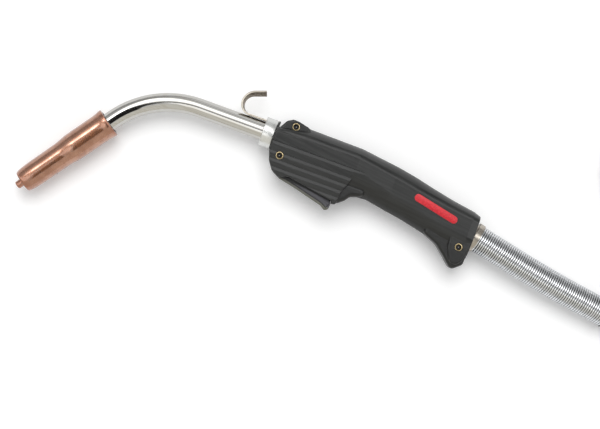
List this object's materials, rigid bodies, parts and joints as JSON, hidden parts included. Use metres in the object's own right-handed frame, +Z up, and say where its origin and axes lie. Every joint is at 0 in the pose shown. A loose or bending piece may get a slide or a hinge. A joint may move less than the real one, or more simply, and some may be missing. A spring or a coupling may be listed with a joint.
{
  "type": "mig welding torch",
  "caption": "Hand-held MIG welding torch with bent gun tube, copper nozzle, two-part black handle, trigger, hanging hook, spring strain relief and coiled cable",
  "frame": {"origin": "on the table, under the gun tube's axis, at the trigger pivot's station; the torch lies on the flat of its right handle half", "axes": "+X back along the handle towards the cable, +Y away from the trigger, +Z up from the table, out of the left handle half"},
  "size_m": [0.8883, 0.255, 0.0426],
  "materials": {
    "copper": "satin, slightly used",
    "chrome": "bright plated",
    "nickel_steel": "plated strip",
    "collar_aluminium": "turned",
    "brass": "turned",
    "tube_insulation": "hard phenolic",
    "nozzle_insulation": "hard phenolic",
    "steel": "zinc plated",
    "liner_steel": "wound wire",
    "handle_plastic": "satin moulded nylon",
    "badge_red": "glossy, bare",
    "trigger_plastic": "satin moulded nylon",
    "switch_plastic": "moulded",
    "lead_insulation": "thin insulation",
    "spring_steel": "bright wire",
    "cable_rubber": "smooth jacket",
    "connector_plastic": "moulded",
    "seal_rubber": "moulded"
  },
  "bodies": {
    "handle": {"conductor_block": "brass", "tube_set_screw": "steel", "cable_crimp_sleeve": "copper", "left_handle_shell": "handle_plastic", "right_handle_shell": "handle_plastic", "handle_screws": "steel", "handle_barrel_nuts": "brass", "badge_plate": "badge_red", "trigger_pin": "steel", "switch_body": "switch_plastic", "switch_terminals": "brass", "trigger_leads": "lead_insulation", "handle_cable": "cable_rubber", "cable_clamp": "steel", "rear_ferrule": "nickel_steel", "strain_relief_spring": "spring_steel", "power_cable": "cable_rubber", "cable_coil": "cable_rubber", "cable_tail": "cable_rubber", "connector_boot": "seal_rubber", "connector_housing": "connector_plastic", "connector_screws": "steel", "connector_plug": "brass", "plug_contacts": "brass", "plug_o_ring": "seal_rubber"},
    "gun_tube": {"gun_tube_jacket": "chrome", "gun_tube_insulation": "tube_insulation", "gun_tube_conductor": "copper", "wire_liner": "liner_steel", "hanger_hook": "nickel_steel", "front_collar": "collar_aluminium", "nozzle_insulator": "nozzle_insulation", "nozzle_retaining_ring": "steel", "gas_diffuser": "brass", "contact_tip": "copper"},
    "gas_nozzle": {"gas_nozzle": "copper"},
    "trigger": {"trigger_lever": "trigger_plastic"},
    "switch_plunger": {"switch_plunger": "switch_plastic"},
    "connector_nut": {"connector_nut": "connector_plastic"}
  },
  "joints": [
    {"name": "gun_tube_turn", "type": "hinge", "parent": "handle", "child": "gun_tube", "pos_m": [0, 0, 0.02], "axis": [1, 0, 0], "range_deg": [-180, 180]},
    {"name": "nozzle_slide", "type": "slide", "parent": "gun_tube", "child": "gas_nozzle", "axis": [-0.5807, -0.8141, 0], "range_m": [0, 0.11]},
    {"name": "trigger_pull", "type": "hinge", "parent": "handle", "child": "trigger", "pos_m": [0, -0.029, 0.02], "axis": [0, 0, 1], "range_deg": [0, 6], "stiffness_Nm_per_rad": 0.4, "springref_deg": -5.73},
    {"name": "plunger_press", "type": "slide", "parent": "handle", "child": "switch_plunger", "axis": [0, 1, 0], "range_m": [0, 0.00235]},
    {"name": "connector_nut_turn", "type": "hinge", "parent": "handle", "child": "connector_nut", "pos_m": [0.31003, 0.08997, 0.0216], "axis": [-0.9945, -0.1045, 0], "continuous": true}
  ],
  "couplings": [
    {"joint": "plunger_press", "follows": "trigger_pull", "m_per_rad": 0.022}
  ]
}
